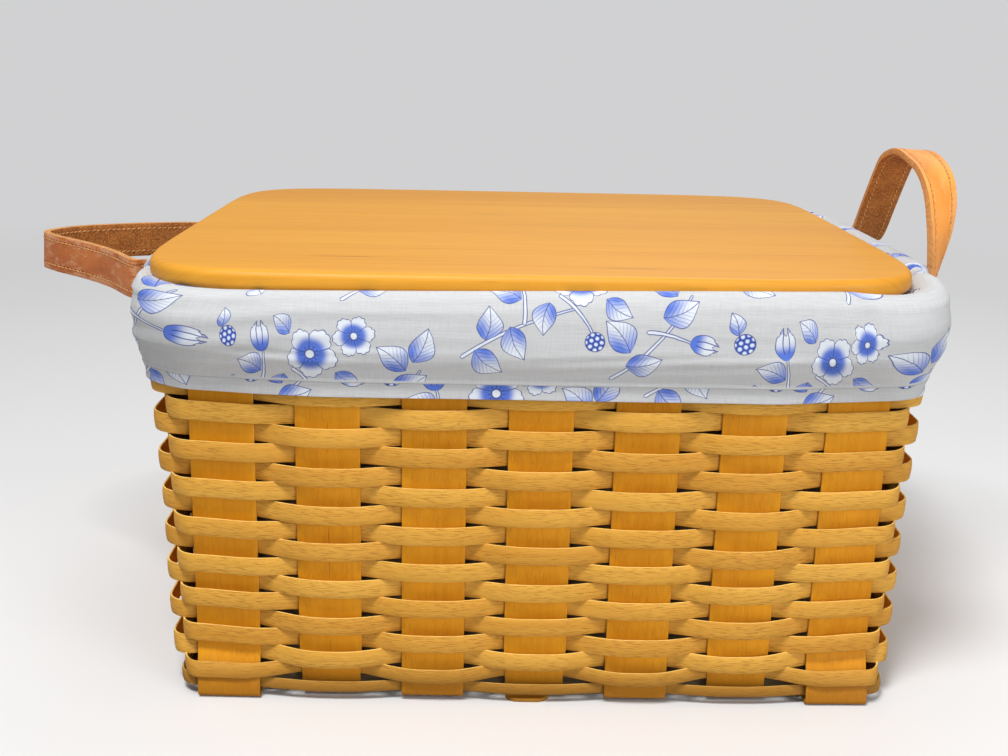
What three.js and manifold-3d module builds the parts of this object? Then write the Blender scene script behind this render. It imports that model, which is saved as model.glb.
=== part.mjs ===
// Woven storage basket: splint-woven body, loose board lid, fabric liner, two leather loop handles.
// Millimetres, +Z up. The origin is on the floor under the middle of the base, and the front faces -Y.

import * as THREE from "three";
import { mergeVertices } from "three/addons/utils/BufferGeometryUtils.js";
import Module from "manifold-3d";

const wasm = await Module();
wasm.setup();

// Clearances
const fitGap = 0.3; // between pieces that touch
const rowGap = 0.4; // between one woven row and the next

const wallLean = 0.047; // outward travel of the walls for each millimetre of height

// Splints: strips that run up one wall, under the base and up the opposite wall
const splintWidth = 38.1;
const splintThickness = 1.3;
const splintsPerSide = 7;
const frontPitch = 62.7;
const endPitch = 60.8;
const frontMargin = 13.4; // from the edge of the outermost lengthwise splint to the front or back wall
const endMargin = 8.3; // the same towards an end wall
const splintBend = 3.4; // radius of its centre line where it turns up
const splintTopInset = 1.5; // below the top of the rim
const crossingMargin = 1.5; // flat stretch past the edge of a crossed splint

// Weaver hoops
const weaverThickness = 1.2;
const lowestRowPitch = 11.48;
const pitchGrowth = 0.059; // each row is this much wider than the one below
const rowCount = 18;
const startHoopWidth = 5;
const startHoopBow = 3.4; // the start hoop lies closer to the uprights than the rows above it
const outwardBow = 6.4; // centre line of a hoop from the wall's middle surface, outside an upright
const inwardBow = 3.4; // the same, inside an upright
const bowFlat = 26; // length over which the bow keeps its full height

// Rim bands
const bandHeight = 27.1;
const outerBandThickness = 4.5;
const innerBandThickness = 3.5;

// Runners under the base
const runnerWidth = 27;
const runnerThickness = 2.5;
const runnerSpread = 183; // from the middle runner to each outer one
const runnerOverhang = 3; // past the wall, front and back
const runnerCornerRadius = 8;

// Liner
const clothThickness = 1.5;
const liningGap = 0.5; // between the inner rim band and the lining
const skirtBelowBand = 30; // from the bottom of the rim bands to the skirt's lower edge
const skirtPuff = 12.4; // how far the skirt bulges past the outer rim band
const skirtShoulder = 12; // from the top of the rim down to where the skirt bulges fully
const skirtRounding = 18; // added to the radius of its corners where it bulges fully
const handlePuff = 11; // extra bulge where the handle straps push the skirt outwards
const handlePuffFade = 40; // length over which that bulge fades out

// Lid
const lidLength = 472;
const lidDepth = 460;
const lidThickness = 12.7;
const lidCornerRadius = 68;
const edgeFlat = 0.01; // between the two rounded halves of its edge
const lidShift = -6; // the loose lid lies this far off the middle, towards -X
const boardJoints = [-130, 22, 115]; // places of the glue joints along Y, from the front
const cleatWidth = 32;
const cleatThickness = 12;
const cleatLength = 380;
const cleatSpread = 130; // from the middle of the lid to each cleat
const screwSpread = 75; // from the middle of the lid to each screw, along Y
const screwShankRadius = 2.2;
const screwHeadRadius = 4.2;
const screwHeadHeight = 2;
const screwBite = 7; // depth in the board

// Handles
const strapWidth = 25.4;
const strapThickness = 4.5; // two layers stitched together
const handleShift = 4.8; // from the middle of the gap between two uprights out to each leg
const hingeDrop = 13.7; // from the top of the rim down to the line where a strap bends
const hingeReach = 35.5; // from the wall's middle surface out to that line
const hingeGap = 0.7; // between a fixed strap end and the loop
const leftLoopReach = 93;
const rightLoopReach = 87.5;
const legStart = 0.17; // share of a loop's reach over which its legs run straight out
const straightLength = 4; // of a leg, before it starts to twist
const quickTwistLength = 22; // length over which a leg turns a quarter turn
const slowTwistLength = 58;
const longTwistLength = 110;
const leftLoopLean = 87; // degrees outwards from upright
const rightLoopLean = 3;
const loopSteps = 28; // spans along the middle line of a loop
const rootRounding = [70, 35]; // degrees round the half-round end of a leg, from its tip
const strapTail = 13; // length of a strap end on the rim band, below its bend
const rivetDrop = 8.6; // from the hinge line down to the rivet
const rivetShankRadius = 2.2;
const rivetHeadRadius = 3.9;
const rivetHeadHeight = 1.3;

// Heights and places that follow
const lowerSplintHeight = runnerThickness + fitGap + splintThickness / 2;
const upperSplintHeight = lowerSplintHeight + splintThickness + fitGap;
const baseTop = upperSplintHeight + splintThickness / 2;
const startHoopBottom = baseTop + fitGap;
const firstRowBottom = startHoopBottom + startHoopWidth + rowGap;
const bandBottom = rowBottom(rowCount);
const rimTop = bandBottom + bandHeight;
const hingeHeight = rimTop - hingeDrop;
const outerBandInside = splintThickness / 2 + fitGap;
const outerBandOutside = outerBandInside + outerBandThickness;
const innerBandInside = -outerBandInside - innerBandThickness;
const innermostWood = Math.min(innerBandInside, -inwardBow - weaverThickness / 2);
const liningMiddle = innermostWood - liningGap - clothThickness / 2;
const linerFloorBottom = baseTop + fitGap;
const linerTop = rimTop + fitGap + clothThickness;
const lidBottom = linerTop + fitGap;
const middleSplint = (splintsPerSide - 1) / 2;
const cornerX = middleSplint * frontPitch + splintWidth / 2;
const cornerY = middleSplint * endPitch + splintWidth / 2;
const handleGap = 1.5 * endPitch; // from the middle of an end wall to the gap after its second upright
const handleSpread = handleGap + handleShift;

function rowBottom(row) {
  return firstRowBottom + row * (lowestRowPitch + (pitchGrowth * row) / 2);
}

// Colours from the photograph
const weaverWood = new THREE.MeshStandardMaterial({ color: 0xd9a646, roughness: 0.62 });
const splintWood = new THREE.MeshStandardMaterial({ color: 0xdc9c34, roughness: 0.62 });
const lidWood = new THREE.MeshStandardMaterial({ color: 0xe6b35c, roughness: 0.5 });
const cotton = new THREE.MeshStandardMaterial({ color: 0xebe8de, roughness: 0.95 });
const leather = new THREE.MeshStandardMaterial({ color: 0xc4763a, roughness: 0.7 });
const brass = new THREE.MeshStandardMaterial({ color: 0xc9a050, roughness: 0.35, metalness: 1 });

const part = new THREE.Group();

function addPiece(name, geometry, material, holder = part) {
  const mesh = new THREE.Mesh(geometry, material);
  mesh.name = name;
  holder.add(mesh);
  return mesh;
}

// Half the length and depth of the body at a height, to the middle surface of its wall.
function halfLength(height) {
  return cornerX + endMargin + wallLean * height;
}

function halfDepth(height) {
  return cornerY + frontMargin + wallLean * height;
}

// A station is a place on the way round the wall: on a side (0 front, 1 right, 2 back, 3 left) at a
// distance along it, or in the corner after that side at a turn from 0 to a quarter circle. The offset is
// outwards from the wall's middle surface, and the rounding makes the corner's radius larger.
function placeOnWall(station, offset, height, rounding = 0) {
  const acrossX = station.side % 2 === 1;
  const alongReach = (acrossX ? cornerY : cornerX) - rounding;
  const wall = (acrossX ? halfLength(height) : halfDepth(height)) + offset;
  const nextWall = (acrossX ? halfDepth(height) : halfLength(height)) + offset;
  const nextReach = (acrossX ? cornerX : cornerY) - rounding;
  let along = station.along;
  let out = wall;
  if (station.turn !== undefined) {
    along = alongReach + (nextWall - alongReach) * Math.sin(station.turn);
    out = nextReach + (wall - nextReach) * Math.cos(station.turn);
  }
  const spin = (station.side * Math.PI) / 2;
  const x = along * Math.cos(spin) + out * Math.sin(spin);
  const y = along * Math.sin(spin) - out * Math.cos(spin);
  return new THREE.Vector3(x, y, height);
}

// A closed body from rings of points, each joined to the next, with flat caps unless it closes on itself.
function loft(rings, closed) {
  const count = rings[0].length;
  const positions = rings.flat().flatMap((point) => [point.x, point.y, point.z]);
  const index = [];
  const spans = closed ? rings.length : rings.length - 1;
  for (let ring = 0; ring < spans; ring += 1) {
    const here = ring * count;
    const next = ((ring + 1) % rings.length) * count;
    for (let step = 0; step < count; step += 1) {
      const beside = (step + 1) % count;
      index.push(here + step, here + beside, next + beside);
      index.push(here + step, next + beside, next + step);
    }
  }
  if (!closed) {
    const last = (rings.length - 1) * count;
    for (let step = 1; step < count - 1; step += 1) {
      index.push(0, step + 1, step);
      index.push(last, last + step, last + step + 1);
    }
  }
  return facingOut(positions, index);
}

function facingOut(positions, index) {
  const corner = (vertex) => new THREE.Vector3().fromArray(positions, vertex * 3);
  let volume = 0;
  for (let face = 0; face < index.length; face += 3) {
    volume += corner(index[face]).dot(corner(index[face + 1]).cross(corner(index[face + 2])));
  }
  const geometry = new THREE.BufferGeometry();
  geometry.setAttribute("position", new THREE.Float32BufferAttribute(positions, 3));
  geometry.setIndex(volume > 0 ? index : index.reverse());
  geometry.computeVertexNormals();
  return geometry;
}

function toSolid(geometry) {
  const bare = geometry.clone();
  bare.deleteAttribute("normal");
  bare.deleteAttribute("uv");
  const merged = mergeVertices(bare, 0.001);
  return new wasm.Manifold(
    new wasm.Mesh({
      numProp: 3,
      vertProperties: new Float32Array(merged.attributes.position.array),
      triVerts: new Uint32Array(merged.index.array),
    }),
  );
}

function fromSolid(body) {
  const mesh = body.getMesh();
  const geometry = new THREE.BufferGeometry();
  geometry.setAttribute("position", new THREE.Float32BufferAttribute(mesh.vertProperties, 3));
  geometry.setIndex(new THREE.Uint32BufferAttribute(mesh.triVerts, 1));
  geometry.computeVertexNormals();
  return geometry;
}

function cut(geometry, tools) {
  return fromSolid(tools.reduce((body, tool) => body.subtract(toSolid(tool)), toSolid(geometry)));
}

// The two sides of a ribbon of even thickness that follows a line of flat points.
function ribbonSides(line, thickness) {
  const sides = [[], []];
  line.forEach((point, step) => {
    const before = line[Math.max(step - 1, 0)];
    const after = line[Math.min(step + 1, line.length - 1)];
    const arriving = point.clone().sub(before).normalize();
    const leaving = after.clone().sub(point).normalize();
    const heading = arriving.clone().add(leaving).normalize();
    const straight = arriving.lengthSq() > 0 ? arriving : leaving;
    const reach = thickness / 2 / heading.dot(straight);
    const across = new THREE.Vector2(-heading.y, heading.x).multiplyScalar(reach);
    sides[0].push(point.clone().add(across));
    sides[1].push(point.clone().sub(across));
  });
  return sides;
}

function ribbon(line, thickness, width) {
  const [near, far] = ribbonSides(line, thickness);
  const outline = new THREE.Shape([...near, ...far.reverse()]);
  const geometry = new THREE.ExtrudeGeometry(outline, { depth: width, bevelEnabled: false, steps: 1 });
  return geometry.translate(0, 0, -width / 2);
}

function splintOffsets() {
  return Array.from({ length: splintsPerSide }, (_, place) => place - middleSplint);
}

// Splints. In the base they go under and over each other by turns.
function splintLine(half, crossingPitch, startsLow) {
  const flat = splintWidth / 2 + crossingMargin;
  const base = [];
  splintOffsets().forEach((offset, crossing) => {
    const low = startsLow === (crossing % 2 === 0);
    const height = low ? lowerSplintHeight : upperSplintHeight;
    base.push(new THREE.Vector2(offset * crossingPitch - flat, height));
    base.push(new THREE.Vector2(offset * crossingPitch + flat, height));
  });
  const edge = base[0].y;
  const bendMiddle = new THREE.Vector2(half(edge) - splintBend, edge + splintBend);
  const diagonal = splintBend * Math.SQRT1_2;
  const top = rimTop - splintTopInset;
  const rise = [
    new THREE.Vector2(half(top), top),
    new THREE.Vector2(half(bendMiddle.y), bendMiddle.y),
    new THREE.Vector2(bendMiddle.x + diagonal, bendMiddle.y - diagonal),
    new THREE.Vector2(bendMiddle.x, edge),
  ];
  const mirrored = rise.map((point) => new THREE.Vector2(-point.x, point.y));
  return [...mirrored, ...base, ...rise.reverse()];
}

function addSplints() {
  const alongY = new THREE.Matrix4().makeBasis(
    new THREE.Vector3(0, 1, 0),
    new THREE.Vector3(0, 0, 1),
    new THREE.Vector3(1, 0, 0),
  );
  const alongX = new THREE.Matrix4().makeBasis(
    new THREE.Vector3(1, 0, 0),
    new THREE.Vector3(0, 0, 1),
    new THREE.Vector3(0, -1, 0),
  );
  splintOffsets().forEach((offset, place) => {
    const first = place % 2 === 0;
    const crosswise = ribbon(splintLine(halfDepth, endPitch, first), splintThickness, splintWidth);
    crosswise.applyMatrix4(alongY);
    addPiece(`crosswise_splint_${place + 1}`, crosswise, splintWood).position.x = offset * frontPitch;
    const lengthwise = ribbon(splintLine(halfLength, frontPitch, !first), splintThickness, splintWidth);
    lengthwise.applyMatrix4(alongX);
    addPiece(`lengthwise_splint_${place + 1}`, lengthwise, splintWood).position.y = offset * endPitch;
  });
}

// Weaver hoops. Each passes outside every other upright, and the next row takes the others.
function weaveStations(outsideFirst, outward) {
  const stations = [];
  for (let side = 0; side < 4; side += 1) {
    const pitch = side % 2 === 0 ? frontPitch : endPitch;
    const startsOutside = side % 2 === 0 ? outsideFirst : !outsideFirst;
    splintOffsets().forEach((offset, place) => {
      const outside = startsOutside === (place % 2 === 0);
      const bow = outside ? outward : -inwardBow;
      stations.push({ side, along: offset * pitch - bowFlat / 2, bow });
      stations.push({ side, along: offset * pitch + bowFlat / 2, bow });
    });
    const leaving = stations[stations.length - 1].bow;
    const arriving = leaving > 0 ? -inwardBow : outward;
    [1 / 3, 2 / 3].forEach((share) => {
      const bow = leaving + (arriving - leaving) * share;
      stations.push({ side, turn: (share * Math.PI) / 2, bow });
    });
  }
  return stations;
}

function hoop(outsideFirst, bottom, width, outward = outwardBow) {
  const half = weaverThickness / 2;
  const rings = weaveStations(outsideFirst, outward).map((station) => [
    placeOnWall(station, station.bow - half, bottom),
    placeOnWall(station, station.bow + half, bottom),
    placeOnWall(station, station.bow + half, bottom + width),
    placeOnWall(station, station.bow - half, bottom + width),
  ]);
  return loft(rings, true);
}

function addHoops() {
  const start = hoop(false, startHoopBottom, startHoopWidth, startHoopBow);
  addPiece("start_hoop", start, weaverWood);
  for (let row = 0; row < rowCount; row += 1) {
    const name = `weaver_row_${String(row + 1).padStart(2, "0")}`;
    const width = rowBottom(row + 1) - rowBottom(row) - rowGap;
    addPiece(name, hoop(row % 2 === 0, rowBottom(row), width), weaverWood);
  }
}

// Straight walls with round corners: the way round for bands and cloth.
function plainStations(cornerSteps, endPlaces) {
  const stations = [];
  for (let side = 0; side < 4; side += 1) {
    const places = side % 2 === 1 ? endPlaces : [0];
    places.forEach((along) => stations.push({ side, along }));
    for (let step = 0; step <= cornerSteps; step += 1) {
      stations.push({ side, turn: (step / cornerSteps) * (Math.PI / 2) });
    }
  }
  return stations;
}

function band(inside, outside) {
  const rings = plainStations(4, [0]).map((station) => [
    placeOnWall(station, inside, bandBottom),
    placeOnWall(station, outside, bandBottom),
    placeOnWall(station, outside, rimTop),
    placeOnWall(station, inside, rimTop),
  ]);
  return loft(rings, true);
}

// Rivets go through a strap end and both rim bands, square to the leaning wall, between two uprights.
const rivetHeight = hingeHeight - rivetDrop;
const wallAngle = Math.atan(wallLean);
const strapEndInside = outerBandOutside + fitGap;
const rivetHeadSeat = strapEndInside + strapThickness + fitGap;
const rivetTip = innerBandInside + fitGap;

function placeThroughWall(geometry, along) {
  geometry.rotateZ(-Math.PI / 2);
  geometry.rotateY(wallAngle);
  return geometry.translate(halfLength(rivetHeight), along, rivetHeight);
}

function rivet(along) {
  const profile = [
    new THREE.Vector2(0, rivetTip),
    new THREE.Vector2(rivetShankRadius, rivetTip),
    new THREE.Vector2(rivetShankRadius, rivetHeadSeat),
    new THREE.Vector2(rivetHeadRadius, rivetHeadSeat),
    new THREE.Vector2(rivetHeadRadius * 0.72, rivetHeadSeat + rivetHeadHeight),
    new THREE.Vector2(0, rivetHeadSeat + rivetHeadHeight),
  ];
  return placeThroughWall(new THREE.LatheGeometry(profile, 12), along);
}

function rivetHole(along) {
  const reach = rivetHeadSeat - rivetTip + 2 * clothThickness;
  const hole = new THREE.CylinderGeometry(rivetShankRadius + fitGap, rivetShankRadius + fitGap, reach, 12);
  hole.translate(0, (rivetHeadSeat + rivetTip) / 2, 0);
  return placeThroughWall(hole, along);
}

function addRim() {
  const holes = [];
  [0, Math.PI].forEach((spin) => {
    [-handleSpread, handleSpread].forEach((along) => holes.push(rivetHole(along).rotateZ(spin)));
  });
  addPiece("outer_rim_band", cut(band(outerBandInside, outerBandOutside), holes), weaverWood);
  addPiece("inner_rim_band", cut(band(innerBandInside, -outerBandInside), holes), weaverWood);
}

// Runners
function addRunners() {
  const half = runnerWidth / 2;
  const reach = halfDepth(0) + runnerOverhang;
  const radius = runnerCornerRadius;
  const outline = new THREE.Shape();
  outline.absarc(half - radius, reach - radius, radius, 0, Math.PI / 2);
  outline.absarc(radius - half, reach - radius, radius, Math.PI / 2, Math.PI);
  outline.absarc(radius - half, radius - reach, radius, Math.PI, Math.PI * 1.5);
  outline.absarc(half - radius, radius - reach, radius, Math.PI * 1.5, Math.PI * 2);
  const options = { depth: runnerThickness, bevelEnabled: false, curveSegments: 4, steps: 1 };
  ["left", "middle", "right"].forEach((name, place) => {
    const runner = new THREE.ExtrudeGeometry(outline, options);
    addPiece(`runner_${name}`, runner, weaverWood).position.x = (place - 1) * runnerSpread;
  });
}

// Liner. Its section is a line of cloth from the floor up the wall, over the rim and down the skirt. A
// point holds its offset and height, its share of the bulge beside a handle and its corners' rounding.
function linerSection() {
  const fold = rimTop + fitGap + clothThickness / 2;
  const rim = outerBandOutside + clothThickness;
  const puffed = outerBandOutside + skirtPuff;
  const hem = outwardBow + weaverThickness / 2 + fitGap + clothThickness / 2;
  const down = (from, share) => from + (hem - from) * share;
  const skirt = (share) => bandBottom - skirtBelowBand * share;
  return [
    [liningMiddle, linerFloorBottom + clothThickness, 0, 0],
    [liningMiddle, fold, 0, 0],
    [rim, fold, 0.2, 0],
    [(rim + 3 * puffed) / 4, rimTop - skirtShoulder / 3, 0.8, skirtRounding / 2],
    [puffed, rimTop - skirtShoulder, 1, skirtRounding],
    [puffed, skirt(0), 1, skirtRounding],
    [down(puffed, 0.25), skirt(0.33), 0.8, skirtRounding],
    [down(puffed, 0.6), skirt(0.6), 0.4, skirtRounding * 0.8],
    [down(puffed, 0.95), skirt(0.85), 0.1, skirtRounding / 4],
    [hem, skirt(1), 0, skirtRounding / 4],
  ];
}

function handleBulge(station) {
  if (station.turn !== undefined || station.side % 2 === 0) {
    return 0;
  }
  const flat = handleSpread + strapWidth / 2;
  const past = THREE.MathUtils.clamp((Math.abs(station.along) - flat) / handlePuffFade, 0, 1);
  return handlePuff * (1 - THREE.MathUtils.smoothstep(past, 0, 1));
}

function addLiner() {
  const flat = handleSpread + strapWidth / 2;
  const half = [flat + handlePuffFade, flat + handlePuffFade / 2, flat, flat / 2];
  const places = [...half.map((place) => -place), 0, ...half.reverse()];
  const stations = plainStations(4, places);
  const section = linerSection();
  const sides = ribbonSides(
    section.map(([offset, height]) => new THREE.Vector2(offset, height)),
    clothThickness,
  );
  const ring = (point, step, height) => {
    const [, , share, rounding] = section[step];
    return stations.map((station) => {
      return placeOnWall(station, point.x + share * handleBulge(station), height, rounding);
    });
  };
  const inner = sides[0].map((point, step) => ring(point, step, point.y));
  const outer = sides[1].map((point, step) => ring(point, step, step === 0 ? linerFloorBottom : point.y));
  const slits = [];
  const slitHeight = strapThickness + 2 * clothThickness;
  const slitLength = strapWidth + 2 * clothThickness;
  const slitDepth = hingeReach - outerBandOutside - 2 * strapThickness;
  const slitMiddle = halfLength(hingeHeight) + hingeReach - slitDepth / 2;
  [-1, 1].forEach((end) => {
    [-handleSpread, handleSpread].forEach((along) => {
      const slit = new THREE.BoxGeometry(slitDepth, slitLength, slitHeight);
      slits.push(slit.translate(end * slitMiddle, along, hingeHeight));
    });
  });
  addPiece("liner", cut(loft([...inner, ...outer.reverse()], false), slits), cotton);
}

// Lid
const lid = new THREE.Group();
lid.position.x = lidShift;
part.add(lid);

function lidBlank() {
  const edge = lidThickness / 2;
  const radius = lidCornerRadius - edge;
  const x = lidLength / 2 - lidCornerRadius;
  const y = lidDepth / 2 - lidCornerRadius;
  const outline = new THREE.Shape();
  outline.absarc(x, y, radius, 0, Math.PI / 2);
  outline.absarc(-x, y, radius, Math.PI / 2, Math.PI);
  outline.absarc(-x, -y, radius, Math.PI, Math.PI * 1.5);
  outline.absarc(x, -y, radius, Math.PI * 1.5, Math.PI * 2);
  const blank = new THREE.ExtrudeGeometry(outline, {
    depth: edgeFlat,
    bevelThickness: edge - edgeFlat / 2,
    bevelSize: edge,
    bevelSegments: 3,
    curveSegments: 5,
    steps: 1,
  });
  return blank.translate(0, 0, lidBottom + edge - edgeFlat / 2);
}

function screwPlace(column, row) {
  return new THREE.Vector3(column * cleatSpread, row * screwSpread, lidBottom - fitGap - cleatThickness);
}

function screw() {
  const reach = cleatThickness + fitGap + screwBite;
  const profile = [
    new THREE.Vector2(0, 0),
    new THREE.Vector2(screwHeadRadius, 0),
    new THREE.Vector2(screwHeadRadius, screwHeadHeight),
    new THREE.Vector2(screwShankRadius, screwHeadHeight),
    new THREE.Vector2(screwShankRadius, reach - screwShankRadius),
    new THREE.Vector2(0, reach),
  ];
  return new THREE.LatheGeometry(profile, 12).rotateX(Math.PI / 2);
}

function screwHoles(column, row) {
  const place = screwPlace(column, row);
  const depth = cleatThickness + screwBite + 2 * fitGap;
  const shank = new THREE.CylinderGeometry(
    screwShankRadius + fitGap,
    screwShankRadius + fitGap,
    depth,
    12,
  );
  const head = new THREE.CylinderGeometry(
    screwHeadRadius + fitGap,
    screwHeadRadius + fitGap,
    2 * (screwHeadHeight + fitGap),
    12,
  );
  shank.rotateX(Math.PI / 2).translate(place.x, place.y, place.z + depth / 2);
  head.rotateX(Math.PI / 2).translate(place.x, place.y, place.z);
  return [shank, head];
}

function addLid() {
  const blank = toSolid(lidBlank());
  const holes = [-1, 1].flatMap((column) => [-1, 1].flatMap((row) => screwHoles(column, row)));
  const edges = [-lidDepth, ...boardJoints, lidDepth];
  const names = ["front", "front_middle", "back_middle", "back"];
  names.forEach((name, board) => {
    const low = edges[board] + fitGap / 2;
    const high = edges[board + 1] - fitGap / 2;
    const slab = new THREE.BoxGeometry(2 * lidLength, high - low, 4 * lidThickness);
    slab.translate(0, (low + high) / 2, lidBottom);
    const piece = fromSolid(blank.intersect(toSolid(slab)));
    addPiece(`lid_board_${name}`, cut(piece, holes), lidWood, lid);
  });
  ["left", "right"].forEach((name, place) => {
    const column = place * 2 - 1;
    const cleat = new THREE.BoxGeometry(cleatWidth, cleatLength, cleatThickness);
    cleat.translate(column * cleatSpread, 0, lidBottom - fitGap - cleatThickness / 2);
    addPiece(`lid_cleat_${name}`, cut(cleat, holes), lidWood, lid);
    ["front", "back"].forEach((end, side) => {
      const piece = addPiece(`lid_screw_${name}_${end}`, screw(), brass, lid);
      piece.position.copy(screwPlace(column, side * 2 - 1));
    });
  });
}

// Handles. A loop is drawn flat in its own frame: its legs start on the Y axis and reach out along +Z, and
// the strap lies with its width along Y at the legs and along X from the end of its twist onwards. A leg is
// a list of places as shares of the loop's reach and of its legs' spread, and the way it twists.
const leftFrontLeg = { places: [[0.37, 0.67], [0.6, 0.42], [0.86, 0.2]], twist: quickTwistLength };
const leftBackLeg = { places: [[0.38, 0.8], [0.62, 0.6], [0.88, 0.32]], twist: slowTwistLength };
const rightFrontLeg = { places: [[0.3, 1.04], [0.5, 1.04], [0.7, 0.95], [0.88, 0.68]], twist: longTwistLength };
const rightBackLeg = { places: [[0.35, 0.82], [0.55, 0.62], [0.75, 0.4], [0.93, 0.15]], twist: longTwistLength };

function loopPoints(reach, front, back) {
  const place = (side) => ([out, along]) => new THREE.Vector3(0, side * along * handleSpread, out * reach);
  return [
    place(-1)([0, 1]),
    place(-1)([legStart, 1]),
    ...front.places.map(place(-1)),
    place(1)([1, 0]),
    ...back.places.map(place(1)).reverse(),
    place(1)([legStart, 1]),
    place(1)([0, 1]),
  ];
}

function strapRing(point, heading, across, halfThickness) {
  const through = new THREE.Vector3().crossVectors(across, heading).setLength(halfThickness);
  const half = across.clone().setLength(strapWidth / 2);
  return [
    point.clone().add(half).add(through),
    point.clone().add(half).sub(through),
    point.clone().sub(half).sub(through),
    point.clone().sub(half).add(through),
  ];
}

// The legs end in a half round about the hinge line, so they stay as close to the strap ends all the way.
function strapRoot(side) {
  const heading = new THREE.Vector3(0, 0, side);
  const across = new THREE.Vector3(0, 1, 0);
  return rootRounding.map((degrees) => {
    const turn = THREE.MathUtils.degToRad(degrees);
    const point = new THREE.Vector3(0, -side * handleSpread, (-strapThickness / 2) * Math.sin(turn));
    return strapRing(point, heading, across, (strapThickness / 2) * Math.cos(turn));
  });
}

function strapLoop(reach, front, back) {
  const curve = new THREE.CatmullRomCurve3(loopPoints(reach, front, back), false, "centripetal");
  const total = curve.getLength();
  const shares = Array.from({ length: loopSteps + 1 }, (_, step) => step / loopSteps);
  shares.splice(1, 0, straightLength / total);
  shares.splice(-1, 0, 1 - straightLength / total);
  const rings = shares.map((share) => {
    const inFront = share < 1 / 2;
    const heading = curve.getTangentAt(share);
    const fromRoot = Math.min(share, 1 - share) * total;
    const twistEnd = straightLength + (inFront ? front : back).twist;
    const turned = (THREE.MathUtils.smoothstep(fromRoot, straightLength, twistEnd) * Math.PI) / 2;
    const flat = new THREE.Vector3(0, heading.z, -heading.y).multiplyScalar(inFront ? 1 : -1);
    const across = flat.multiplyScalar(Math.cos(turned)).add(new THREE.Vector3(Math.sin(turned), 0, 0));
    return strapRing(curve.getPointAt(share), heading, across, strapThickness / 2);
  });
  return loft([...strapRoot(1), ...rings, ...strapRoot(-1).reverse()], false);
}

// A strap end lies on the outer rim band, bends outwards and stops just short of the hinge line.
function strapEnd(along) {
  const seat = strapEndInside + strapThickness / 2;
  const tailBottom = hingeHeight - strapTail;
  const bendBottom = hingeHeight - strapThickness;
  const stop = halfLength(hingeHeight) + hingeReach - strapThickness / 2 - hingeGap;
  const line = [
    new THREE.Vector2(halfLength(tailBottom) + seat, tailBottom),
    new THREE.Vector2(halfLength(bendBottom) + seat, bendBottom),
    new THREE.Vector2(halfLength(hingeHeight) + seat + strapThickness, hingeHeight),
    new THREE.Vector2(stop, hingeHeight),
  ];
  const piece = ribbon(line, strapThickness, strapWidth).rotateX(Math.PI / 2).translate(0, along, 0);
  return cut(piece, [rivetHole(along)]);
}

function addHandle(name, end, reach, lean, legs) {
  const frame = new THREE.Group();
  frame.rotation.z = end > 0 ? 0 : Math.PI;
  part.add(frame);
  [["front", -1], ["back", 1]].forEach(([place, side]) => {
    const along = side * end * handleSpread;
    addPiece(`${name}_strap_end_${place}`, strapEnd(along), leather, frame);
    addPiece(`${name}_rivet_${place}`, rivet(along), brass, frame);
  });
  const loop = addPiece(`${name}_strap_loop`, strapLoop(reach, ...legs), leather, frame);
  loop.position.set(halfLength(hingeHeight) + hingeReach, 0, hingeHeight);
  loop.rotation.y = THREE.MathUtils.degToRad(lean);
}

addRunners();
addSplints();
addHoops();
addRim();
addLiner();
addLid();
addHandle("left_handle", -1, leftLoopReach, leftLoopLean, [leftBackLeg, leftFrontLeg]);
addHandle("right_handle", 1, rightLoopReach, rightLoopLean, [rightFrontLeg, rightBackLeg]);

export default part;
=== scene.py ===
"""A splint-woven storage basket with a board lid, a cotton liner and two leather loop handles."""
import math

import bmesh
import bpy
from mathutils import Matrix, Vector


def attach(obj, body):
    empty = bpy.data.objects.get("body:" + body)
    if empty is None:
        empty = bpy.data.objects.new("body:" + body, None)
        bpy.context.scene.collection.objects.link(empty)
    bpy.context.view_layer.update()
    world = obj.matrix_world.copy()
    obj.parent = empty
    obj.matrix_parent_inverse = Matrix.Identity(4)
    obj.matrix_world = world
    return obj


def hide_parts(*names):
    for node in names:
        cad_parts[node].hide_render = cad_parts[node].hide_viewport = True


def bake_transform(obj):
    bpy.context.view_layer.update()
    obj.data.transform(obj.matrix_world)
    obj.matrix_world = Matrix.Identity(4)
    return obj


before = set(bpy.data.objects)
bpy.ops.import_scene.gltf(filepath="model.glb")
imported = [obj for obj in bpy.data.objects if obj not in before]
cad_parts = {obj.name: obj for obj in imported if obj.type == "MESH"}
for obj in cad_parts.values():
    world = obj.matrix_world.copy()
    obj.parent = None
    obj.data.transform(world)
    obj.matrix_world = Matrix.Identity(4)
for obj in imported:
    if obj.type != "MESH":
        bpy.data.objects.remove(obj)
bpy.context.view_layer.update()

# The camera stands a metre in front of the basket and a little above it. Soft light falls from above the front,
# with a weaker fill from the lower right and a weak lamp behind. The pale floor fades into the backdrop.
CAMERA_PLACE = (-0.03406, -1.01505, 0.39859)
CAMERA_TURN, CAMERA_DIP, CAMERA_ROLL = -0.841, 13.530, 1.179  # degrees
FLOOR_TONE = (0.80, 0.80, 0.80, 1.0)
FLOOR_SHADE = (0.77, 0.77, 0.77, 1.0)
FLOOR_BOUNCE = (0.46, 0.46, 0.46, 1.0)
FLOOR_FADE = (0.7, 2.4)
BACKDROP_TONE = (0.64, 0.64, 0.65, 1.0)
SKY_TONE = (0.31, 0.31, 0.315, 1.0)
LAMP_AIM = Vector((0.0, 0.0, 0.14))


def new_object(name, data):
    made = bpy.data.objects.new(name, data)
    bpy.context.scene.collection.objects.link(made)
    return made


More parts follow.
